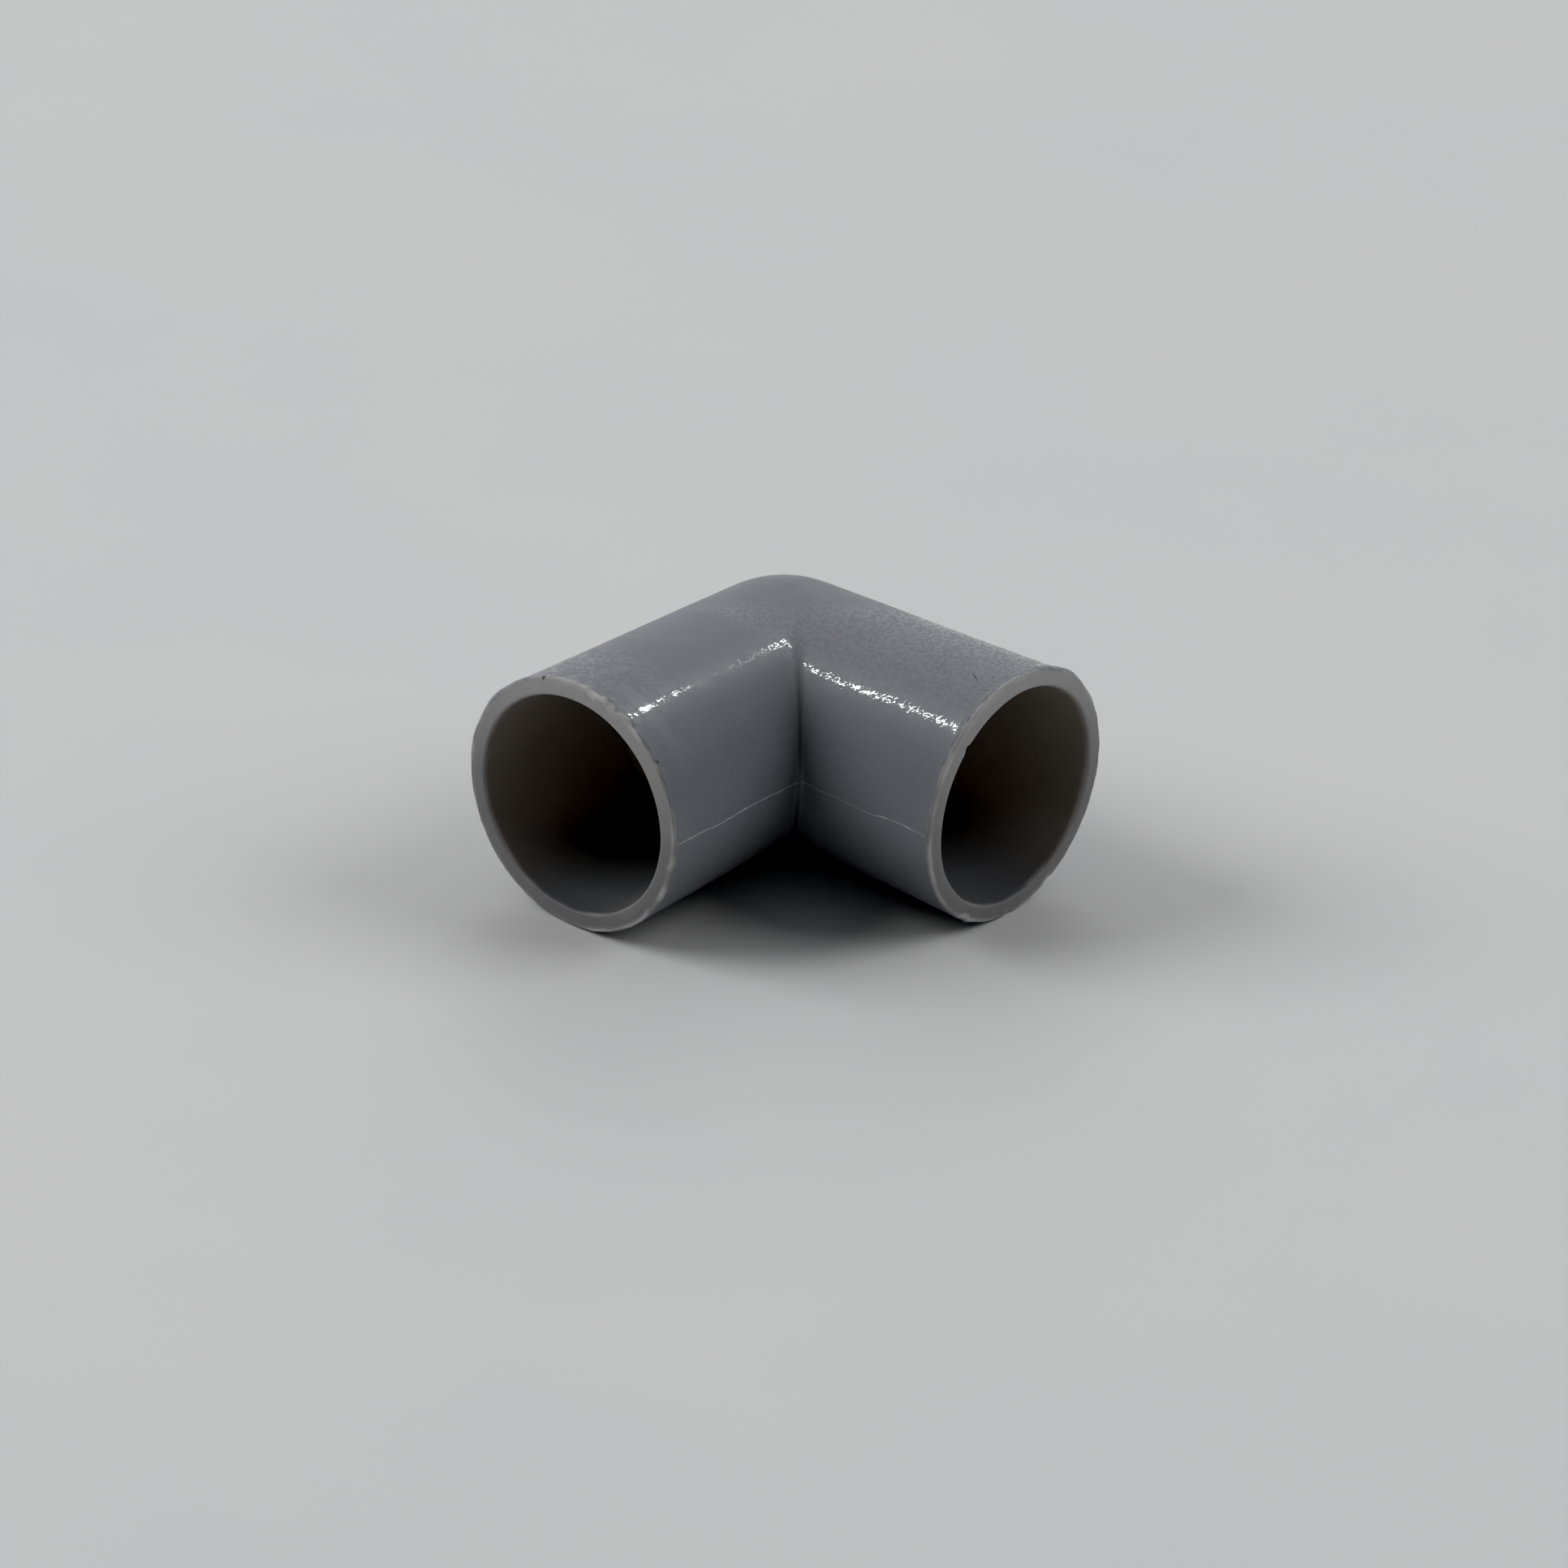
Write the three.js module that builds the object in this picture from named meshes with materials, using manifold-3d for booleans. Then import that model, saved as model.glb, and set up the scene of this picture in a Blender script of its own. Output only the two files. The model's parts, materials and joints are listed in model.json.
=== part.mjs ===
// A plain-socket 90 degree pipe elbow for 20 mm pressure pipe: one injection moulding in PVC.
//
// Two round sockets point along +X and +Y and lie flat, so both axes are level. The outside is two
// slightly tapered barrels that grow out of a ball at the heel. Inside, each socket ends in a square
// shoulder, the pipe stop, and a narrower waterway turns the corner between the two stops.
//
// The moulding is given as three zones that meet face to face: the two socket tubes and the bend
// between them. Nothing on the real fitting separates there.
import * as THREE from "three";
import { mergeVertices } from "three/addons/utils/BufferGeometryUtils.js";
import Module from "manifold-3d";

// Driving dimensions, in millimetres. Distances along a socket are measured from the point where
// the two socket axes cross.
const LONG_ARM = 28.5; // crossing to the mouth of the socket along +X
const SHORT_ARM = 26.5; // crossing to the mouth of the socket along +Y
const MOUTH_RADIUS = 11.75; // outside of a socket, at its mouth
const HEEL_RADIUS = 10.95; // outside of the ball at the heel
const BORE_MOUTH_RADIUS = 10.1; // socket bore, at its mouth
const BORE_ROOT_RADIUS = 9.95; // socket bore, where the pipe stops
const WATERWAY_RADIUS = 8.6; // passage between the two pipe stops
const STOP_DISTANCE = 10.5; // crossing to each pipe stop
const RIM_ROUND = 0.3; // radius on the outer edge of each mouth
const LEAD_IN = 0.2; // chamfer on the inner edge of each mouth
const ZONE_DISTANCE = 12.5; // crossing to the plane where a socket zone meets the bend zone

// A ball stands this far proud of the barrel that starts inside it, so the two surfaces cross
// in one clean circle.
const BALL_PROUD = 0.05;
const OVERSHOOT = 2; // how far a cutting shape runs past the face it opens
const ROUND_SEGMENTS = 72;
const BALL_SEGMENTS = 48;
const EDGE_STEPS = 3; // facets in a rim's rounded edge
const MERGE_TOLERANCE = 1e-4;

const wasm = await Module();
wasm.setup();

// A closed three.js geometry as a solid that can be joined and cut.
function solidFrom(geometry) {
  const bare = geometry.clone();
  bare.deleteAttribute("normal");
  bare.deleteAttribute("uv");
  const merged = mergeVertices(bare, MERGE_TOLERANCE);
  const mesh = new wasm.Mesh({
    numProp: 3,
    vertProperties: merged.attributes.position.array,
    triVerts: new Uint32Array(merged.index.array),
  });
  return new wasm.Manifold(mesh);
}

// The surface of a solid as a three.js geometry with one flat normal per face.
function geometryFrom(solid) {
  const mesh = solid.getMesh();
  const shared = new THREE.BufferGeometry();
  shared.setAttribute("position", new THREE.BufferAttribute(mesh.vertProperties, mesh.numProp));
  shared.setIndex(new THREE.BufferAttribute(mesh.triVerts, 1));
  const geometry = shared.toNonIndexed();
  geometry.computeVertexNormals();
  return geometry;
}

// A shape turned about the socket axis +Y, from [radius, distance] pairs that start and end on it.
function turned(profile) {
  const points = profile.map(([radius, distance]) => new THREE.Vector2(radius, distance));
  return new THREE.LatheGeometry(points, ROUND_SEGMENTS);
}

// Lays a shape turned about +Y along the long socket's axis, +X.
function alongX(geometry) {
  return geometry.clone().rotateZ(-Math.PI / 2);
}

// Outside of one arm: a barrel that widens from the heel to the mouth, where its edge is rounded.
function barrel(arm) {
  const centre = new THREE.Vector2(MOUTH_RADIUS - RIM_ROUND, arm - RIM_ROUND);
  const edge = [];
  for (let step = 0; step <= EDGE_STEPS; step += 1) {
    const angle = (step / EDGE_STEPS) * (Math.PI / 2);
    edge.push([centre.x + RIM_ROUND * Math.cos(angle), centre.y + RIM_ROUND * Math.sin(angle)]);
  }
  return turned([[0, 0], [HEEL_RADIUS - BALL_PROUD, 0], ...edge, [0, arm]]);
}

// Hollow of one arm: the waterway, the pipe stop, and the socket bore with its lead-in.
function hollow(arm) {
  return turned([
    [0, 0],
    [WATERWAY_RADIUS, 0],
    [WATERWAY_RADIUS, STOP_DISTANCE],
    [BORE_ROOT_RADIUS, STOP_DISTANCE],
    [BORE_MOUTH_RADIUS, arm - LEAD_IN],
    [BORE_MOUTH_RADIUS + LEAD_IN, arm],
    [BORE_MOUTH_RADIUS + LEAD_IN, arm + OVERSHOOT],
    [0, arm + OVERSHOOT],
  ]);
}

function ball(radius) {
  return new THREE.SphereGeometry(radius, BALL_SEGMENTS, BALL_SEGMENTS / 2);
}

// A block from one corner to the opposite one.
function block(low, high) {
  const size = high.clone().sub(low);
  const middle = low.clone().add(high).multiplyScalar(0.5);
  return new THREE.BoxGeometry(size.x, size.y, size.z).translate(middle.x, middle.y, middle.z);
}

// The whole moulding, with the crossing of the socket axes at the origin.
function moulding() {
  const outside = solidFrom(alongX(barrel(LONG_ARM)))
    .add(solidFrom(barrel(SHORT_ARM)))
    .add(solidFrom(ball(HEEL_RADIUS)));
  const inside = solidFrom(alongX(hollow(LONG_ARM)))
    .add(solidFrom(hollow(SHORT_ARM)))
    .add(solidFrom(ball(WATERWAY_RADIUS + BALL_PROUD)));
  return outside.subtract(inside);
}

// The blocks that divide the moulding into its three zones.
function zones() {
  const far = LONG_ARM + OVERSHOOT;
  const corner = new THREE.Vector3(-far, -far, -far);
  return {
    long_socket: block(new THREE.Vector3(ZONE_DISTANCE, -far, -far), new THREE.Vector3(far, far, far)),
    short_socket: block(new THREE.Vector3(-far, ZONE_DISTANCE, -far), new THREE.Vector3(far, far, far)),
    bend: block(corner, new THREE.Vector3(ZONE_DISTANCE, ZONE_DISTANCE, far)),
  };
}

function greyPlastic() {
  return new THREE.MeshStandardMaterial({ color: 0x74777d, roughness: 0.38, metalness: 0 });
}

// The row's origin is under the middle of the whole outline, on the surface it lies on.
const elbow = new THREE.Group();
elbow.position.set((MOUTH_RADIUS - LONG_ARM) / 2, (MOUTH_RADIUS - SHORT_ARM) / 2, MOUTH_RADIUS);

const whole = moulding();
for (const [name, zone] of Object.entries(zones())) {
  const mesh = new THREE.Mesh(geometryFrom(whole.intersect(solidFrom(zone))), greyPlastic());
  mesh.name = name;
  elbow.add(mesh);
}

const group = new THREE.Group();
group.add(elbow);
export default group;
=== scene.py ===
"""Looks of a plain-socket 90 degree pipe elbow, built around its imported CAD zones.

The elbow is one grey injection moulding, so it is one closed mesh here too. The mesh is a single
grid of quads that runs out along the long socket's outside, over its mouth, down its bore, round
the waterway, up the short socket's bore, over that mouth and back along the outside. Every row of
the grid is a ring around a socket axis. Columns are angles around the axis: 0 faces the inner
corner of the elbow, 90 is the top, 180 is the heel side and 270 is the bottom.
"""

import json
import math

import bpy
import numpy as np
from mathutils import Matrix, Vector


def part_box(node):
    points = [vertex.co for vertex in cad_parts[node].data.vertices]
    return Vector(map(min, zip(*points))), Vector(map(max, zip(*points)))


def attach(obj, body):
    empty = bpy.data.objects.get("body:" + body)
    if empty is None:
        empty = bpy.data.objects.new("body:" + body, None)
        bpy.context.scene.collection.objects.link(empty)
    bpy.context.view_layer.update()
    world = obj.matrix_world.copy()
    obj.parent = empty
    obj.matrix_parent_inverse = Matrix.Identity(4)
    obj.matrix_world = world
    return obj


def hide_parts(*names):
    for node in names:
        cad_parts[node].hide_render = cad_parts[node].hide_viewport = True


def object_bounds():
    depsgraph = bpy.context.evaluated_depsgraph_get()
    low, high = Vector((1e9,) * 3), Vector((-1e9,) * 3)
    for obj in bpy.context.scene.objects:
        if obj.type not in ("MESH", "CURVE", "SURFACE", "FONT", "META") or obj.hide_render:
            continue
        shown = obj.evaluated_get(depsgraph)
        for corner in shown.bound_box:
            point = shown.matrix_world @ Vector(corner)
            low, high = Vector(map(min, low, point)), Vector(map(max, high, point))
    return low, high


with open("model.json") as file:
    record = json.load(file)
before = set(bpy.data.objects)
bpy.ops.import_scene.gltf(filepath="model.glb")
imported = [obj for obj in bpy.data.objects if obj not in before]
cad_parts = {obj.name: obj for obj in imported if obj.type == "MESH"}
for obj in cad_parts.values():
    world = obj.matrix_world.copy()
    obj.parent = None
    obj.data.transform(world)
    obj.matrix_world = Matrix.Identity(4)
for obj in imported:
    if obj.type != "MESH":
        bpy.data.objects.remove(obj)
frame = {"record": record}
cad_low, cad_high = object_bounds()

MM = 0.001
RANDOM_SEED = 20
FINISH = "finish"  # mesh colours: trimmed, painted warm glow of the bore, flash and pale edges, and painted shade of the crease and the lips' grooves

# ---------------------------------------------------------------- sizes, from the imported frame

long_low, long_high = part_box("long_socket")
short_low, short_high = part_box("short_socket")
MOUNTS = {mount["name"]: mount for mount in frame["record"]["mounts"]}

CROSSING = Vector((
    (short_low.x + short_high.x) / 2,
    (long_low.y + long_high.y) / 2,
    (long_low.z + long_high.z) / 2,
))
MOUTH_RADIUS = (long_high.z - long_low.z) / 2
LONG_ARM = long_high.x - CROSSING.x
SHORT_ARM = short_high.y - CROSSING.y
STOP_DISTANCE = MOUNTS["long_socket_pipe_stop"]["pos_m"][0] - CROSSING.x

# ---------------------------------------------------------------- sizes of the moulding's detail

HEEL_RADIUS = MOUTH_RADIUS - 0.80 * MM
BORE_MOUTH_RADIUS = MOUTH_RADIUS - 1.65 * MM
BORE_ROOT_RADIUS = MOUTH_RADIUS - 1.80 * MM
WATERWAY_RADIUS = MOUTH_RADIUS - 3.15 * MM
DRAFT = (MOUTH_RADIUS - HEEL_RADIUS) / LONG_ARM  # how much a barrel widens per metre
CREASE_BLEND = 0.85 * MM  # width over which the two barrels run into each other at the crease
CREASE_BLEND_START = 0.45  # how far into the corner it reaches that width, in mouth radii
LEAST_BLEND = 0.001 * MM  # keeps the blend's width above zero where it fades out
CREASE_SHADE_LINE = 0.30 * MM  # reach of the painted dark shade line in the crease
CREASE_SHADE = 4.2 * MM  # reach of the faint painted shade to either side of it

OUTER_ROUND = 0.20 * MM  # outer edge of a mouth
INNER_ROUND = 0.20 * MM  # inner edge of a mouth
STOP_ROUND = 0.15 * MM  # both corners of a pipe stop
LIP_SETBACK = 0.20 * MM  # from the rounding of the outer edge to the crest of a mouth's lip
LIP_REACH = 0.17 * MM  # half the lip's width
GROOVE_HALF_WIDTH = 0.07 * MM  # of the painted shade line between a mouth's lip and its end face
EDGE_BAND = 1.3 * MM  # finely divided stretch of barrel behind a mouth
WEAR_REACH = 0.13 * MM  # how far the pale edging of a mouth spreads: partly real scuffs, partly a painted highlight
TRIM_REACH = 0.10 * MM  # how far the trimmed finish of a mouth runs back along the barrel

PARTING_HEIGHT = 0.06 * MM  # flash left standing where the mould halves met
PARTING_HALF_WIDTH = 0.08 * MM
PARTING_JOG = 0.055 * MM  # half the largest sideways jog of the parting line
PARTING_JOGS = 12  # jogs along each arm
FLASH_EVERYWHERE = 0.22  # share of the flash that stands even between its strong stretches

BURR_HEIGHT = 0.03 * MM  # fine teeth on a mouth's rounded outer edge
BURR_REACH = 0.16 * MM
FACE_WAVE = 0.018 * MM  # waviness of a mouth's end face
LEAST_ROUND = 0.06 * MM  # sharpest that a mouth's outer edge gets
LEAST_CROWN = 0.03 * MM  # how far the end face falls away everywhere
SHRINKAGE = 0.010 * MM  # unevenness of the barrels and the heel

# ---------------------------------------------------------------- grid

COLUMNS = 400
CROWDING = (0.55, 0.35)  # crowds the columns onto the parting line, at 2 and 4 times the angle
BARREL_ROWS = 58
BARREL_CROWDING = 1.6  # power that crowds the rows onto the crease
BAND_ROWS = 10
ARC_ROWS = 6
FACE_ROWS = 6
BORE_ROWS = 14
STOP_ROWS = 4
WATERWAY_ROWS = 6

steps = np.arange(COLUMNS) * (2 * math.pi / COLUMNS)
ANGLES = steps - CROWDING[0] * np.sin(2 * steps) / 2 - CROWDING[1] * np.sin(4 * steps) / 4
COS, SIN = np.cos(ANGLES), np.sin(ANGLES)


# ---------------------------------------------------------------- small irregularities

def wave_sum(angle, lowest, highest, count, rng):
    """A smooth random function of an angle, about -1 to 1, that closes on itself."""
    frequencies = rng.integers(lowest, highest, count)
    phases = rng.uniform(0, 2 * math.pi, count)
    waves = [np.cos(f * angle + p) for f, p in zip(frequencies, phases)]
    return np.sum(waves, axis=0) / math.sqrt(count)


def ragged(angle, lowest, highest, count, rng, sharpness=4.0):
    """A random function of an angle with flat stretches and sudden steps, -1 to 1."""
    return np.tanh(sharpness * wave_sum(angle, lowest, highest, count, rng))


def angle_bump(angle, centre_deg, half_width_deg, power):
    """1 at the centre angle, falling to 0 about half_width_deg away."""
    away = (angle - math.radians(centre_deg) + math.pi) % (2 * math.pi) - math.pi
    return np.exp(-np.abs(away / math.radians(half_width_deg)) ** power)


def smooth_step(value):
    t = np.clip(value, 0, 1)
    return t * t * (3 - 2 * t)


def sum_of_bumps(entries, power):
    """Bumps added up: each entry is centre and half width in degrees, then size in millimetres."""
    total = np.zeros(COLUMNS)
    for centre, half_width, size in entries:
        total += size * MM * angle_bump(ANGLES, centre, half_width, power)
    return total


class Mouth:
    """How one mouth was trimmed, as functions of the angle around it.

    Most arguments list bumps as centre and half width in degrees, then size in millimetres:
    - crown: how far the end face falls away outwards
    - outer, chips: more rounding of the outer edge, gradual or sudden
    - inner: more rounding of the inner edge
    - lips, fins: the ridge that trimming raised behind the edge, smooth or toothed
    - reach: how much further the trimmed finish runs back along the barrel
    - edge_wear_and_highlight: how pale the edge is, from 0 to 1: partly real scuffs, partly a
      painted highlight along it
    The flash lists the strong stretches of the parting line: place and half length in mouth
    radii, then strength. The drift is how far the parting line strays near the mouth, in
    millimetres.
    """

    def __init__(self, arm, seed, crown, outer, chips, inner, lips, fins, reach, edge_wear_and_highlight, flash,
                 drift):
        rng = np.random.default_rng(seed)
        self.arm = arm
        self.flash = flash
        self.drift = drift * MM
        self.jogs = rng.uniform((4, 0.1, -1), (29, 0.5, 1), (PARTING_JOGS, 3))
        self.crown = LEAST_CROWN + sum_of_bumps(crown, 2)
        unevenness = 0.14 * wave_sum(ANGLES, 3, 14, 7, rng) + 0.10 * ragged(ANGLES, 9, 40, 6, rng)
        self.outer_round = OUTER_ROUND * (1 + unevenness)
        self.outer_round += sum_of_bumps(outer, 2) + sum_of_bumps(chips, 8)
        self.outer_round = np.maximum(self.outer_round, LEAST_ROUND)
        self.inner_round = INNER_ROUND * (1 + 0.18 * wave_sum(ANGLES, 2, 11, 6, rng))
        self.inner_round += sum_of_bumps(inner, 2)
        teeth = 0.75 + 0.35 * ragged(ANGLES, 14, 60, 12, rng, 5)
        swell = 0.90 + 0.16 * wave_sum(ANGLES, 3, 22, 8, rng)
        lip = sum_of_bumps(lips, 4)
        # How much painted shade lies in the groove between the lip and the end face.
        self.groove = 0.6 * smooth_step(lip / (0.25 * MM))
        self.fin = lip * swell + sum_of_bumps(fins, 4) * teeth
        self.burr = BURR_HEIGHT * np.clip(ragged(ANGLES, 14, 70, 9, rng), 0, 1)
        self.face_wave = FACE_WAVE * wave_sum(ANGLES, 2, 9, 5, rng)
        self.reach = TRIM_REACH * (1 + 0.7 * ragged(ANGLES, 12, 60, 9, rng, 2))
        self.reach += sum_of_bumps(reach, 6)
        # Pale edges: partly real scuffs, partly a painted highlight along them.
        wear_and_lit_edge = sum_of_bumps(edge_wear_and_highlight, 4) / MM
        patchy = 0.62 + 0.38 * ragged(ANGLES, 5, 26, 9, rng, 2)
        self.wear_and_lit_edge = np.clip(wear_and_lit_edge * patchy, 0, 0.8)

    def parting_path(self, distance):
        """How far the parting line strays from the mid-plane along this arm, with small jogs."""
        stray = self.drift * smooth_step((distance / self.arm - 0.45) / 0.5)
        for place, length, size in self.jogs:
            stray += size * PARTING_JOG * np.tanh((distance - place * MM) / (length * MM))
        return stray


LONG_MOUTH = Mouth(
    LONG_ARM, RANDOM_SEED + 1,
    crown=[(90, 40, 0.10), (340, 36, 0.10)],
    outer=[(345, 22, 0.16), (262, 12, 0.12), (185, 50, -0.04)],
    chips=[(82, 2.4, 0.26), (70, 3.2, 0.34), (348, 2.6, 0.16), (322, 2.4, 0.16)],
    inner=[(185, 70, 0.16)],
    lips=[(190, 60, 0.32), (40, 24, 0.06)],
    fins=[(62, 3.4, 0.16), (75, 2.6, 0.14), (50, 5, 0.06), (90, 8, 0.10)],
    reach=[(90, 16, 0.22), (73, 4, 0.20), (62, 4, 0.30), (350, 26, 0.22), (283, 9, 0.3)],
    edge_wear_and_highlight=[(322, 52, 0.75), (72, 30, 0.60), (200, 60, 0.35), (283, 8, 0.4)],
    flash=[(1.95, 0.55, 0.42), (1.25, 0.25, 0.25), (1.62, 0.05, 0.35)],
    drift=0.28,
)
SHORT_MOUTH = Mouth(
    SHORT_ARM, RANDOM_SEED + 2,
    crown=[(62, 50, 0.15), (335, 45, 0.12)],
    outer=[(352, 50, 0.12), (75, 26, 0.14), (180, 45, -0.08), (225, 18, 0.06)],
    chips=[(270, 3.0, 0.20), (259, 3.0, 0.20), (302, 3.0, 0.24), (243, 3.0, 0.20)],
    inner=[(46, 1.8, 0.45), (180, 75, 0.26)],
    lips=[(155, 52, 0.28), (48, 26, 0.08)],
    fins=[(235, 8, 0.26), (254, 4, 0.12), (297, 3.0, 0.16), (40, 6, 0.05)],
    reach=[(60, 30, 0.25), (345, 50, 0.20), (255, 22, 0.25), (300, 6, 0.3)],
    edge_wear_and_highlight=[(335, 62, 0.60), (62, 34, 0.45), (250, 26, 0.60), (160, 50, 0.30), (300, 6, 0.5)],
    flash=[(1.90, 0.28, 0.20), (1.78, 0.035, 0.6), (2.03, 0.035, 0.9)],
    drift=0.42,
)


# ---------------------------------------------------------------- the plain shape

def barrel_radius(distance, arm):
    """Outside radius at a distance from the crossing: a ball at the heel, then a tapered barrel."""
    tilt = math.atan(DRAFT)
    ball = np.sqrt(np.maximum(HEEL_RADIUS ** 2 - distance ** 2, 0))
    cone = HEEL_RADIUS / math.cos(tilt) + DRAFT * distance
    past_corner = smooth_step((distance - HEEL_RADIUS) / (arm - HEEL_RADIUS))
    cone = cone + past_corner * (MOUTH_RADIUS - HEEL_RADIUS / math.cos(tilt) - DRAFT * arm)
    return np.where(distance < -HEEL_RADIUS * math.sin(tilt), ball, cone)


def mitre_distance(radius, draft):
    """Distance along either arm at which its skin meets the other arm's, for each column."""
    tilt = math.atan(draft)
    on_cone = radius / math.cos(tilt) * COS / (1 - draft * COS)
    on_ball = -radius * np.abs(COS) / np.sqrt(1 + COS ** 2)
    return np.where(COS < -math.sin(tilt), on_ball, on_cone)


def waterway_radius(distance):
    ball = np.sqrt(np.maximum(WATERWAY_RADIUS ** 2 - distance ** 2, 0))
    return np.where(distance < 0, ball, WATERWAY_RADIUS)


def outside_rows(mouth):
    """Rings from just past the mitre out to the start of the mouth's rounded edge."""
    arm = mouth.arm
    start = mitre_distance(HEEL_RADIUS, DRAFT)
    band_start = arm - EDGE_BAND
    rows = []
    for step in range(1, BARREL_ROWS + 1):
        share = (step / BARREL_ROWS) ** BARREL_CROWDING
        distance = start + (band_start - start) * share
        rows.append((distance, barrel_radius(distance, arm)))
    for step in range(1, BAND_ROWS + 1):
        share = step / BAND_ROWS
        distance = band_start + (EDGE_BAND - mouth.crown - mouth.outer_round) * share
        rows.append((distance, barrel_radius(distance, arm)))
    for step in range(1, ARC_ROWS + 1):
        turn = step / ARC_ROWS * math.pi / 2
        distance = arm - mouth.crown - mouth.outer_round * (1 - math.sin(turn))
        rows.append((distance, MOUTH_RADIUS - mouth.outer_round * (1 - math.cos(turn))))
    return rows


def face_rows(mouth):
    """Rings over the end of a mouth, which falls away outwards, and its rounded inner edge."""
    arm, inner = mouth.arm, mouth.inner_round
    face_outer = MOUTH_RADIUS - mouth.outer_round
    face_inner = BORE_MOUTH_RADIUS + inner
    rows = []
    for step in range(1, FACE_ROWS + 1):
        share = step / (FACE_ROWS + 1)
        fall = mouth.crown * (1 - share) ** 2
        wave = mouth.face_wave * math.sin(share * math.pi)
        rows.append((arm - fall + wave, face_outer + (face_inner - face_outer) * share))
    for step in range(ARC_ROWS + 1):
        turn = step / ARC_ROWS * math.pi / 2
        distance = arm - inner * (1 - math.cos(turn))
        rows.append((distance, face_inner - inner * math.sin(turn)))
    return rows


def bore_rows(mouth):
    """Rings down the socket bore to the pipe stop, over it, and along the waterway."""
    start = mouth.arm - mouth.inner_round
    rows = []
    for step in range(1, BORE_ROWS + 1):
        share = (step / BORE_ROWS) ** 1.5
        distance = start + (STOP_DISTANCE + STOP_ROUND - start) * share
        rows.append((distance, BORE_MOUTH_RADIUS + (BORE_ROOT_RADIUS - BORE_MOUTH_RADIUS) * share))
    for step in range(1, STOP_ROWS + 1):
        turn = step / STOP_ROWS * math.pi / 2
        distance = STOP_DISTANCE + STOP_ROUND * (1 - math.sin(turn))
        rows.append((distance, BORE_ROOT_RADIUS - STOP_ROUND * (1 - math.cos(turn))))
    for step in range(STOP_ROWS):
        turn = step / (STOP_ROWS - 1) * math.pi / 2
        distance = STOP_DISTANCE - STOP_ROUND * (1 - math.cos(turn))
        rows.append((distance, WATERWAY_RADIUS + STOP_ROUND * (1 - math.sin(turn))))
    start = STOP_DISTANCE - STOP_ROUND
    end = mitre_distance(WATERWAY_RADIUS, 0)
    for step in range(1, WATERWAY_ROWS):
        distance = start + (end - start) * step / WATERWAY_ROWS
        rows.append((distance, waterway_radius(distance)))
    return rows


def ring(distance, radius):
    """Points of one row as (along the arm, towards the inner corner, up)."""
    distance = np.broadcast_to(distance, (COLUMNS,))
    radius = np.broadcast_to(radius, (COLUMNS,))
    return np.stack([distance, radius * COS, radius * SIN], axis=1)


# ---------------------------------------------------------------- what shapes the outside further

def barrel_gap(points, arm, along):
    """Distance of each point outside the barrel that runs along the given axis, and its slope."""
    side = 1 - along
    distance = points[:, along]
    across = np.hypot(points[:, side], points[:, 2])
    gap = across - barrel_radius(distance, arm)
    slope = np.zeros_like(points)
    slope[:, along] = -DRAFT
    slope[:, side] = points[:, side] / across
    slope[:, 2] = points[:, 2] / across
    return gap, slope


def blend_crease(points, arm, other_arm):
    """Pushes points near the crease out onto a smooth union of the two barrels.

    The blend widens from nothing at the top and bottom to its full width well down the corner.
    """
    into_corner = points[:, 1] / (CREASE_BLEND_START * MOUTH_RADIUS)
    blend = CREASE_BLEND * smooth_step(into_corner) + LEAST_BLEND
    for _ in range(6):
        own, own_slope = barrel_gap(points, arm, 0)
        other, other_slope = barrel_gap(points, other_arm, 1)
        overlap = np.clip(1 - np.abs(own - other) / blend, 0, 1)
        smooth = np.minimum(own, other) - overlap ** 2 * blend / 4
        weight = np.where(own <= other, 1 - overlap / 2, overlap / 2)[:, None]
        direction = weight * own_slope + (1 - weight) * other_slope
        step = -smooth / np.sum(direction ** 2, axis=1)
        near = (overlap > 0) & (points[:, 1] > 0)
        points = points + np.where(near, step, 0)[:, None] * direction
    return points


def parting_ridge(points, mouth):
    """How much of the parting flash's full height stands at each point of a barrel, 0 to 1."""
    distance = points[:, 0]
    off = (points[:, 2] - mouth.parting_path(distance)) / PARTING_HALF_WIDTH
    total = np.full(len(points), FLASH_EVERYWHERE)
    along = distance / MM
    strength = 1 + 0.35 * np.sin(2.3 * along) * np.sin(5.9 * along) + 0.15 * np.sin(9.1 * along)
    for place, half_length, height in mouth.flash:
        away = (distance / MOUTH_RADIUS - place) / half_length
        total = total + height * np.exp(-away ** 4)
    return np.clip(total * strength, 0, 1) * np.clip(1 - np.abs(off), 0, 1) ** 0.8


def shrinkage(points):
    """Slight long-wave unevenness that moulded plastic takes as it cools."""
    x, y, z = (points / MM).T
    wave = np.sin(0.41 * x + 0.9) * np.sin(0.37 * y - 0.5) + 0.6 * np.sin(0.62 * z + 0.33 * x)
    return SHRINKAGE * wave


def painted_crease_shade(points, other_arm):
    """Painted shade: darkest along the crease itself, and faint for a few millimetres to either
    side.
    """
    gap, _ = barrel_gap(points, other_arm, 1)
    in_corner = smooth_step((points[:, 1] / MOUTH_RADIUS - 0.35) / 0.6)
    line = np.exp(-(gap / CREASE_SHADE_LINE) ** 2)
    shade = np.exp(-gap / CREASE_SHADE)
    return in_corner * (0.40 * line + 0.60 * shade)


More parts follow.
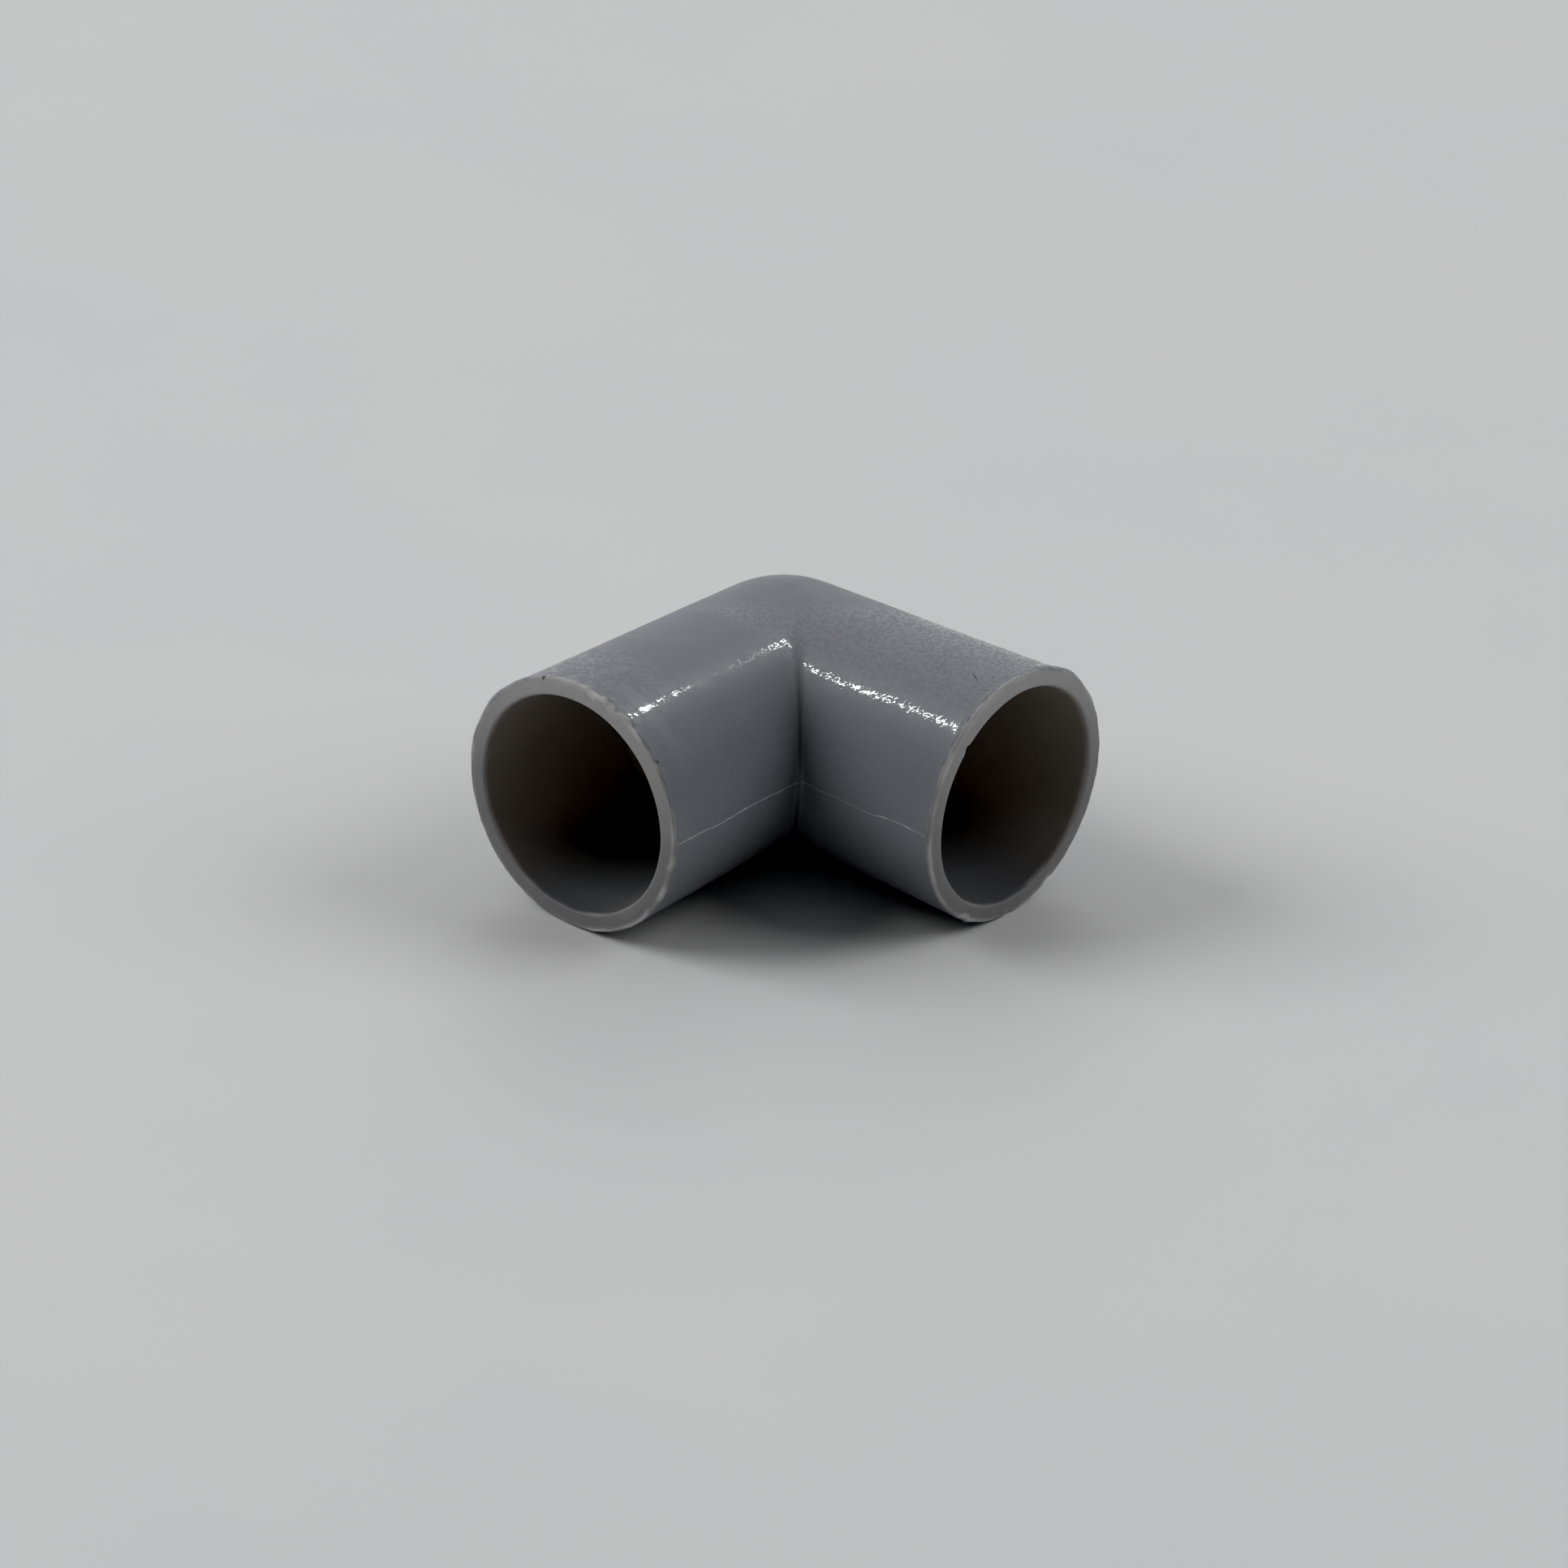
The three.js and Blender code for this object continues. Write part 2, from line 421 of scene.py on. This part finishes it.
def shape_outside(points, mouth, other_arm):
    """A plain outside row with the crease, the flash, the lip and the unevenness added.

    Also gives the row's finish, each 0 to 1: how trimmed, how much flash and pale edge, and how
    much painted shade lies in the crease and the lip's groove.
    """
    rounded = blend_crease(points, mouth.arm, other_arm)
    outward = rounded * np.array([0, 1, 1])
    outward /= np.linalg.norm(outward, axis=1)[:, None]
    from_mouth = mouth.arm - mouth.crown - points[:, 0]
    fin_place = (from_mouth - mouth.outer_round - LIP_SETBACK) / LIP_REACH
    burr_place = (from_mouth - mouth.outer_round * 0.6) / BURR_REACH
    lift = mouth.fin * np.exp(-fin_place ** 2) + mouth.burr * np.exp(-burr_place ** 2)
    lift += shrinkage(rounded) * smooth_step(from_mouth / (0.5 * MM))
    flash = parting_ridge(rounded, mouth) * smooth_step((from_mouth - 0.3 * MM) / (0.3 * MM))
    lift += PARTING_HEIGHT * flash
    trimmed = smooth_step(0.5 + (mouth.reach - from_mouth) / (0.5 * MM))
    # Pale outer edge of the mouth: partly real scuffs, partly a painted edge highlight.
    flash += mouth.wear_and_lit_edge * np.exp(-((from_mouth - 0.15 * mouth.outer_round) / WEAR_REACH) ** 2)
    # Painted shade: dark in the crease and in the groove behind the mouth's lip.
    groove_place = (from_mouth - 0.35 * mouth.outer_round) / GROOVE_HALF_WIDTH
    painted_shade = painted_crease_shade(points, other_arm) + mouth.groove * np.exp(-groove_place ** 2)
    return rounded + lift[:, None] * outward, trimmed, flash, painted_shade


# ---------------------------------------------------------------- the mesh

def arm_rings(mouth, other_arm):
    """All the rows of one arm from the outer mitre to the inner one.

    Each is its points and its finish: trimmed, painted warm glow of the bore, flash and pale edge,
    and painted shade of the crease and groove.
    """
    none, full = np.zeros(COLUMNS), np.ones(COLUMNS)
    rings = []
    for distance, radius in outside_rows(mouth):
        plain = ring(distance, radius)
        points, trimmed, flash, painted_shade = shape_outside(plain, mouth, other_arm)
        rings.append((points, (trimmed, none, flash, painted_shade)))
    for distance, radius in face_rows(mouth):
        inside = smooth_step((BORE_MOUTH_RADIUS + 0.6 * mouth.inner_round - radius)
                             / (0.6 * mouth.inner_round))
        # Pale along both edges of the end face: partly real scuffs, partly a painted edge
        # highlight; the faint line at the inner edge is painted highlight.
        from_ridge = (MOUTH_RADIUS - mouth.outer_round - radius) / WEAR_REACH
        from_bore = (radius - BORE_MOUTH_RADIUS) / WEAR_REACH
        wear_and_lit_edge = mouth.wear_and_lit_edge * (np.exp(-from_ridge ** 2) + 0.3 * np.exp(-from_bore ** 2))
        rings.append((ring(distance, radius), (1 - inside, inside, wear_and_lit_edge, none)))
    for distance, radius in bore_rows(mouth):
        rings.append((ring(distance, radius), (none, full, none, none)))
    return rings


def swapped(points):
    """Points of the short arm, whose axis is Y and whose inner corner faces X."""
    return points[:, [1, 0, 2]]


def moulding_rings():
    none, full = np.zeros(COLUMNS), np.ones(COLUMNS)
    distance = mitre_distance(HEEL_RADIUS, DRAFT)
    outer_mitre = ring(distance, barrel_radius(distance, LONG_ARM))
    outer_mitre = blend_crease(outer_mitre, LONG_ARM, SHORT_ARM)
    distance = mitre_distance(WATERWAY_RADIUS, 0)
    inner_mitre = ring(distance, waterway_radius(distance))
    short_rings = [(swapped(p), finish) for p, finish in arm_rings(SHORT_MOUTH, LONG_ARM)]
    return [
        # painted shade of the crease on the first ring
        (outer_mitre, (none, none, none, painted_crease_shade(outer_mitre, SHORT_ARM))),
        *arm_rings(LONG_MOUTH, SHORT_ARM),
        (inner_mitre, (none, full, none, none)),
        *reversed(short_rings),
    ]


def build_moulding(name, material):
    """One closed quad mesh whose rows and columns both join up with themselves."""
    rings = moulding_rings()
    points = np.concatenate([points for points, _ in rings]) + np.array(CROSSING)
    rows = len(rings)
    row, column = np.meshgrid(np.arange(rows), np.arange(COLUMNS), indexing="ij")
    next_row, next_column = (row + 1) % rows, (column + 1) % COLUMNS
    corners = [
        row * COLUMNS + column,
        row * COLUMNS + next_column,
        next_row * COLUMNS + next_column,
        next_row * COLUMNS + column,
    ]
    quads = np.stack(corners, axis=-1).reshape(-1, 4)
    finish = np.concatenate([np.stack(finish, axis=1) for _, finish in rings])

    mesh = bpy.data.meshes.new(name)
    mesh.from_pydata(points.tolist(), [], quads.tolist())
    mesh.materials.append(material)
    mesh.polygons.foreach_set("use_smooth", np.ones(len(quads), dtype=bool))
    attribute = mesh.attributes.new(FINISH, "FLOAT_COLOR", "POINT")
    attribute.data.foreach_set("color", finish.ravel())
    mesh.update()
    moulding = bpy.data.objects.new(name, mesh)
    bpy.context.scene.collection.objects.link(moulding)
    return moulding


# ---------------------------------------------------------------- materials

def new_material(name):
    material = bpy.data.materials.new(name)
    material.use_nodes = True
    return material, material.node_tree, material.node_tree.nodes["Principled BSDF"]


def object_coordinates(tree, scale=(1, 1, 1)):
    """Object coordinates, stretched by scale."""
    source = tree.nodes.new("ShaderNodeTexCoord")
    mapping = tree.nodes.new("ShaderNodeMapping")
    mapping.inputs["Scale"].default_value = scale
    tree.links.new(source.outputs["Object"], mapping.inputs["Vector"])
    return mapping.outputs["Vector"]


def noise(tree, vector, size, detail=3.0, roughness=0.55):
    """Noise whose features are about size metres across."""
    node = tree.nodes.new("ShaderNodeTexNoise")
    node.inputs["Scale"].default_value = 1 / size
    node.inputs["Detail"].default_value = detail
    node.inputs["Roughness"].default_value = roughness
    tree.links.new(vector, node.inputs["Vector"])
    return node.outputs["Fac"]


def ramp(tree, value, stops):
    """A colour ramp through (position, colour) stops."""
    node = tree.nodes.new("ShaderNodeValToRGB")
    elements = node.color_ramp.elements
    while len(elements) < len(stops):
        elements.new(0.5)
    for element, (position, colour) in zip(elements, stops):
        element.position = position
        element.color = (*colour, 1)
    tree.links.new(value, node.inputs["Fac"])
    return node.outputs["Color"]


def map_range(tree, value, low, high, to_low=0.0, to_high=1.0):
    node = tree.nodes.new("ShaderNodeMapRange")
    node.interpolation_type = "SMOOTHSTEP"
    node.inputs["From Min"].default_value = low
    node.inputs["From Max"].default_value = high
    node.inputs["To Min"].default_value = to_low
    node.inputs["To Max"].default_value = to_high
    tree.links.new(value, node.inputs["Value"])
    return node.outputs["Result"]


def mix_colour(tree, factor, first, second):
    node = tree.nodes.new("ShaderNodeMix")
    node.data_type = "RGBA"
    sockets = {socket.identifier: socket for socket in node.inputs}
    feed(tree, sockets["Factor_Float"], factor)
    feed(tree, sockets["A_Color"], first)
    feed(tree, sockets["B_Color"], second)
    return {socket.identifier: socket for socket in node.outputs}["Result_Color"]


def mix_number(tree, factor, first, second):
    node = tree.nodes.new("ShaderNodeMix")
    feed(tree, node.inputs["Factor"], factor)
    feed(tree, node.inputs["A"], first)
    feed(tree, node.inputs["B"], second)
    return node.outputs["Result"]


def feed(tree, socket, value):
    """Links a socket, or sets it to a constant."""
    if isinstance(value, bpy.types.NodeSocket):
        tree.links.new(value, socket)
    elif isinstance(value, tuple):
        socket.default_value = (*value, 1)
    else:
        socket.default_value = value


def maths(tree, operation, first, second):
    node = tree.nodes.new("ShaderNodeMath")
    node.operation = operation
    feed(tree, node.inputs[0], first)
    feed(tree, node.inputs[1], second)
    return node.outputs["Value"]


def bump(tree, height, depth):
    """A bump whose height map, 0 to 1, stands for depth metres."""
    node = tree.nodes.new("ShaderNodeBump")
    node.inputs["Distance"].default_value = depth
    tree.links.new(height, node.inputs["Height"])
    return node.outputs["Normal"]


PVC_IOR = 1.54

# The gloss is rubbed off the middle of the long arm, and whole in a patch on the side of its
# mouth that faces the short arm. Each border fades between two distances, in mouth radii.
RUBBED_START = (0.62, 0.85)
RUBBED_END = (1.50, 2.05)
WHOLE_START = (2.09, 2.12)
WHOLE_END = (2.21, 2.24)
WHOLE_SIDE = (0.10, 0.35)
PEEL_SIZE = 0.34 * MM


def on_barrel(arm_is_long, distance, angle_deg):
    """A point of a barrel's skin, from its distance along the arm and its angle around it."""
    angle = math.radians(angle_deg)
    radius = HEEL_RADIUS + DRAFT * distance
    across, up = radius * math.cos(angle), radius * math.sin(angle)
    local = (distance, across, up) if arm_is_long else (across, distance, up)
    return CROSSING + Vector(local)


# Dark marks: on the long arm or not, distance along it over the mouth's radius, angle around it,
# then the mark's half length, half width and turn on the skin.
MARKS = [
    (True, 2.405, 109, 0.20, 0.21, 0),
    (True, 2.385, 39, 0.13, 0.13, 0),
    (False, 1.975, 78, 0.80, 0.060, 59),
    (False, 2.137, 73, 0.45, 0.055, 103),
    (False, 2.168, 85, 0.22, 0.060, 114),
    (False, 2.090, 82, 0.12, 0.055, 60),
    (False, 2.230, 88, 0.07, 0.060, 0),
]


def mark_mask(tree):
    """1 inside any of the dark marks, 0 elsewhere: each is a small ellipse on the skin."""
    source = tree.nodes.new("ShaderNodeTexCoord").outputs["Object"]
    total = None
    for arm_is_long, distance, angle, half_length, half_width, turn in MARKS:
        place = tree.nodes.new("ShaderNodeMapping")
        place.vector_type = "TEXTURE"
        place.inputs["Location"].default_value = on_barrel(
            arm_is_long, distance * MOUTH_RADIUS, angle)
        place.inputs["Rotation"].default_value = (0, 0, math.radians(turn))
        place.inputs["Scale"].default_value = (half_length * MM, half_width * MM, 0.5 * MM)
        tree.links.new(source, place.inputs["Vector"])
        length = tree.nodes.new("ShaderNodeVectorMath")
        length.operation = "LENGTH"
        tree.links.new(place.outputs["Vector"], length.inputs[0])
        mask = map_range(tree, length.outputs["Value"], 1.3, 0.6)
        total = mask if total is None else maths(tree, "MAXIMUM", total, mask)
    return total


def coat_weight(tree, position, ticks, peel):
    """The skin's gloss: broken up in specks, rubbed off mid-arm, and none on the heel or below."""
    along = position.outputs["X"]
    rubbed_from = map_range(tree, along, *(CROSSING.x + r * MOUTH_RADIUS for r in RUBBED_START))
    rubbed_to = map_range(tree, along, *(CROSSING.x + r * MOUTH_RADIUS for r in RUBBED_END), 1, 0)
    rubbed = maths(tree, "MULTIPLY", rubbed_from, rubbed_to)
    kept = maths(tree, "SUBTRACT", 1.0, maths(tree, "MULTIPLY", rubbed, 0.9))
    short_arm_side = CROSSING.x + MOUTH_RADIUS
    past_short_arm = map_range(tree, along, short_arm_side, short_arm_side + 0.2 * MOUTH_RADIUS)
    ticked = mix_number(tree, past_short_arm, 1.0, map_range(tree, ticks, 0.45, 0.52, 0.04, 1.0))
    specks = map_range(tree, peel, 0.47, 0.53, 0.03, 1.0)
    broken = maths(tree, "MULTIPLY", ticked, specks)
    whole_from = map_range(tree, along, *(CROSSING.x + r * MOUTH_RADIUS for r in WHOLE_START))
    whole_to = map_range(tree, along, *(CROSSING.x + r * MOUTH_RADIUS for r in WHOLE_END), 1, 0)
    whole_side = map_range(
        tree, position.outputs["Y"], *(CROSSING.y + r * MOUTH_RADIUS for r in WHOLE_SIDE))
    whole = maths(tree, "MULTIPLY", maths(tree, "MULTIPLY", whole_from, whole_to), whole_side)
    broken = maths(tree, "MAXIMUM", broken, whole)
    above_middle = map_range(tree, position.outputs["Z"], 0.9 * MOUTH_RADIUS, 1.25 * MOUTH_RADIUS)
    from_heel = maths(tree, "ADD", along, position.outputs["Y"])
    heel_edge = CROSSING.x + CROSSING.y + 0.2 * MOUTH_RADIUS
    past_heel = map_range(tree, from_heel, heel_edge, heel_edge + 0.5 * MOUTH_RADIUS)
    weight = maths(tree, "MULTIPLY", kept, maths(tree, "MULTIPLY", above_middle, past_heel))
    return maths(tree, "MULTIPLY", weight, broken)


def grey_pvc():
    """The moulding's plastic: glossy skin, dull trimmed mouths and pale flash, with painted light:
    a warm glow in the bores, shade in the crease and low on the barrels, light atop the end faces.
    """
    material, tree, shader = new_material("grey_pvc")
    everywhere = object_coordinates(tree)
    finish = tree.nodes.new("ShaderNodeAttribute")
    finish.attribute_name = FINISH
    split = tree.nodes.new("ShaderNodeSeparateColor")
    tree.links.new(finish.outputs["Color"], split.inputs["Color"])
    # Green marks the bores, whose colour is a painted warm glow of bounced light; the mask also
    # makes them rough.
    trimmed, bore_with_painted_glow, flash = split.outputs["Red"], split.outputs["Green"], split.outputs["Blue"]
    # Alpha holds painted shade: the crease, and the groove behind each mouth's lip.
    crease = finish.outputs["Alpha"]
    jagged = noise(tree, everywhere, 0.45 * MM, detail=3, roughness=0.6)
    trimmed = map_range(tree, maths(tree, "ADD", trimmed, jagged), 0.80, 1.12)
    bore_with_painted_glow = map_range(tree, maths(tree, "ADD", bore_with_painted_glow, jagged), 0.80, 1.20)
    position = tree.nodes.new("ShaderNodeSeparateXYZ")
    tree.links.new(everywhere, position.inputs["Vector"])

    cloud = noise(tree, everywhere, 6 * MM, detail=4)
    fine = noise(tree, everywhere, 0.26 * MM, detail=3, roughness=0.7)
    skin = ramp(tree, cloud, [(0.30, (0.155, 0.166, 0.185)), (0.70, (0.172, 0.182, 0.200))])
    skin = mix_colour(tree, map_range(tree, fine, 0.38, 0.62, 0.0, 0.60), skin,
                      (0.136, 0.144, 0.160))
    tint = map_range(tree, noise(tree, everywhere, 9 * MM, detail=2), 0.40, 0.65, 0.0, 0.5)
    skin = mix_colour(tree, tint, skin, (0.166, 0.164, 0.184))
    # Painted shade: the skin darkens towards the bottom of the barrels.
    painted_underside_shade = map_range(
        tree, position.outputs["Z"], 1.0 * MOUTH_RADIUS, 0.3 * MOUTH_RADIUS, 0, 0.55)
    skin = mix_colour(tree, painted_underside_shade, skin, (0.088, 0.088, 0.092))
    rim = ramp(tree, noise(tree, everywhere, 1.6 * MM, detail=5),
               [(0.30, (0.160, 0.158, 0.161)), (0.70, (0.184, 0.180, 0.182))])
    # Painted light: the mouths' end faces grow paler towards the top.
    height = map_range(tree, position.outputs["Z"], 0.6 * MOUTH_RADIUS, 2.0 * MOUTH_RADIUS)
    rim = mix_colour(tree, maths(tree, "MULTIPLY", height, 0.8), rim, (0.340, 0.333, 0.333))
    # Painted light: a warm brown glow of bounced light in the bores, darker and greyer towards
    # their bottom.
    painted_bore_glow = ramp(tree, noise(tree, everywhere, 3 * MM, detail=5, roughness=0.6),
                [(0.30, (0.222, 0.194, 0.168)), (0.70, (0.244, 0.215, 0.189))])
    bore_low_grey = ramp(tree, cloud, [(0.3, (0.067, 0.069, 0.073)), (0.7, (0.080, 0.082, 0.086))])
    low = map_range(tree, position.outputs["Z"], 0.55 * MOUTH_RADIUS, 0.15 * MOUTH_RADIUS)
    bore = mix_colour(tree, low, painted_bore_glow, bore_low_grey)
    colour = mix_colour(tree, trimmed, skin, rim)
    marks = mark_mask(tree)
    colour = mix_colour(tree, marks, colour, (0.030, 0.029, 0.032))
    colour = mix_colour(tree, bore_with_painted_glow, colour, bore)
    # Painted shade: near black in the crease and the lips' grooves, fading out to either side of
    # the crease.
    colour = mix_colour(tree, maths(tree, "MULTIPLY", crease, 0.85), colour, (0.012, 0.012, 0.014))
    # Pale flash of the parting line, and pale mouth edges that are partly real scuffs and partly a
    # painted highlight.
    colour = mix_colour(tree, flash, colour, (0.55, 0.55, 0.56))
    tree.links.new(colour, shader.inputs["Base Color"])

    gloss = map_range(tree, noise(tree, everywhere, 2.2 * MM, detail=5), 0.3, 0.7, 0.34, 0.42)
    roughness = mix_number(tree, trimmed, gloss, 0.50)
    roughness = mix_number(tree, bore_with_painted_glow, roughness, 0.60)
    tree.links.new(roughness, shader.inputs["Roughness"])
    shader.inputs["IOR"].default_value = PVC_IOR
    shader.inputs["Specular IOR Level"].default_value = 0.28
    matt = maths(tree, "MAXIMUM", trimmed, bore_with_painted_glow)
    ticks = noise(tree, object_coordinates(tree, (3.5, 1.0, 1.0)), 1.4 * MM, detail=1)
    peel = noise(tree, everywhere, PEEL_SIZE, detail=1)
    coat = coat_weight(tree, position, ticks, peel)
    tree.links.new(maths(tree, "MULTIPLY", coat, maths(tree, "SUBTRACT", 1.0, matt)),
                   shader.inputs["Coat Weight"])
    shader.inputs["Coat Roughness"].default_value = 0.04

    scuffs = noise(tree, everywhere, 0.5 * MM, detail=5, roughness=0.65)
    relief = maths(tree, "ADD", maths(tree, "MULTIPLY", ticks, 0.9), peel)
    relief = mix_number(tree, trimmed, relief, scuffs)
    relief = maths(tree, "SUBTRACT", relief, marks)
    tree.links.new(bump(tree, relief, 0.001 * MM), shader.inputs["Normal"])
    tree.links.new(bump(tree, relief, 0.009 * MM), shader.inputs["Coat Normal"])
    return material


def table_top():
    """A pale, matt, slightly mottled table."""
    material, tree, shader = new_material("table_top")
    everywhere = object_coordinates(tree)
    cloud = noise(tree, everywhere, 60 * MM, detail=3)
    colour = ramp(tree, cloud, [(0.3, (0.565, 0.567, 0.571)), (0.7, (0.587, 0.586, 0.585))])
    tree.links.new(colour, shader.inputs["Base Color"])
    shader.inputs["Roughness"].default_value = 0.7
    shader.inputs["Specular IOR Level"].default_value = 0.2
    return material


# ---------------------------------------------------------------- stage, camera and light

TABLE_SIZE = 3.0
CAMERA_AZIMUTH_DEG = 39.01  # from +X towards +Y
CAMERA_ELEVATION_DEG = 27.80
CAMERA_ROLL = math.radians(2.66)
CAMERA_DISTANCE = 72.30 * MOUTH_RADIUS
CAMERA_LENS_MM = 223.6
AIM = CROSSING + Vector((1.0613 * MOUTH_RADIUS, 0.9007 * MOUTH_RADIUS, 0))

BLACK_LEVEL = 0.0065  # how much light the picture shows as black

ROOM_COLOUR = (0.97, 0.98, 1.0)
ROOM_FRONT = 0.07
ROOM_BACK = 0.56
ROOM_BRIGHTEST = (219, 35)  # azimuth and elevation of the room's brightest side

# Soft panels around the table: name, azimuth, elevation, power. The camera stands at azimuth 39.
PANEL_SIZE = 0.8
PANEL_DISTANCE = 1.2
PANELS = [
    ("panel_left", 309, 37, 9.0),
    ("panel_right", 129, 38, 6.0),
    ("panel_behind", 219, 30, 2.5),
]
# Tall thin lamps seen only in the gloss, which draw the streaks along the barrels.
LAMP_WIDTH = 0.04
LAMP_HEIGHT = 0.5
LAMP_DISTANCE = 1.0
LAMPS = [("lamp_right", 177, 50, 1.2), ("lamp_left", 297, 54, 1.5)]


def direction(azimuth_deg, elevation_deg):
    azimuth, elevation = math.radians(azimuth_deg), math.radians(elevation_deg)
    flat = math.cos(elevation)
    return Vector((flat * math.cos(azimuth), flat * math.sin(azimuth), math.sin(elevation)))


def add_table():
    mesh = bpy.data.meshes.new("table")
    half = TABLE_SIZE / 2
    corners = [(-half, -half, 0), (half, -half, 0), (half, half, 0), (-half, half, 0)]
    mesh.from_pydata(corners, [], [(0, 1, 2, 3)])
    mesh.materials.append(table_top())
    table = bpy.data.objects.new("table", mesh)
    table.location.z = cad_low.z
    bpy.context.scene.collection.objects.link(table)


def add_camera():
    data = bpy.data.cameras.new("camera")
    data.lens = CAMERA_LENS_MM
    data.sensor_width = 36
    data.clip_end = 10
    camera = bpy.data.objects.new("camera", data)
    back = direction(CAMERA_AZIMUTH_DEG, CAMERA_ELEVATION_DEG)
    right = Vector((0, 0, 1)).cross(back).normalized()
    up = back.cross(right)
    rolled_right = right * math.cos(CAMERA_ROLL) + up * math.sin(CAMERA_ROLL)
    rolled_up = up * math.cos(CAMERA_ROLL) - right * math.sin(CAMERA_ROLL)
    turn = Matrix((rolled_right, rolled_up, back)).transposed()
    camera.matrix_world = Matrix.Translation(AIM + back * CAMERA_DISTANCE) @ turn.to_4x4()
    bpy.context.scene.collection.objects.link(camera)
    bpy.context.scene.camera = camera


def add_area_light(name, azimuth_deg, elevation_deg, distance, width, height, power):
    data = bpy.data.lights.new(name, "AREA")
    data.shape = "ELLIPSE"
    data.size = width
    data.size_y = height
    data.energy = power
    light = bpy.data.objects.new(name, data)
    towards = direction(azimuth_deg, elevation_deg)
    light.location = CROSSING + towards * distance
    light.rotation_euler = towards.to_track_quat("Z", "Y").to_euler()
    bpy.context.scene.collection.objects.link(light)
    return light


def add_room():
    """An even room, brighter behind the object than on the camera's side."""
    world = bpy.data.worlds.new("room")
    world.use_nodes = True
    tree = world.node_tree
    sight = tree.nodes.new("ShaderNodeTexCoord")
    facing = tree.nodes.new("ShaderNodeVectorMath")
    facing.operation = "DOT_PRODUCT"
    facing.inputs[1].default_value = direction(*ROOM_BRIGHTEST)
    tree.links.new(sight.outputs["Generated"], facing.inputs[0])
    glow = map_range(tree, facing.outputs["Value"], 0.0, 1.0, ROOM_FRONT, ROOM_BACK)
    background = tree.nodes["Background"]
    background.inputs["Color"].default_value = (*ROOM_COLOUR, 1)
    tree.links.new(glow, background.inputs["Strength"])
    bpy.context.scene.world = world


def add_lights():
    for name, azimuth, elevation, power in PANELS:
        panel = add_area_light(
            name, azimuth, elevation, PANEL_DISTANCE, PANEL_SIZE, PANEL_SIZE, power)
        panel.visible_glossy = False
    for name, azimuth, elevation, power in LAMPS:
        lamp = add_area_light(
            name, azimuth, elevation, LAMP_DISTANCE, LAMP_WIDTH, LAMP_HEIGHT, power)
        lamp.visible_diffuse = False
    add_room()


# ---------------------------------------------------------------- making it

def set_picture_contrast():
    settings = bpy.context.scene.view_settings
    settings.view_transform = "Standard"
    settings.use_curve_mapping = True
    settings.curve_mapping.black_level = (BLACK_LEVEL, BLACK_LEVEL, BLACK_LEVEL)
    settings.curve_mapping.update()


set_picture_contrast()
moulding = build_moulding("elbow_moulding", grey_pvc())
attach(moulding, "root")
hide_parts("long_socket", "bend", "short_socket")

add_table()
add_camera()
add_lights()
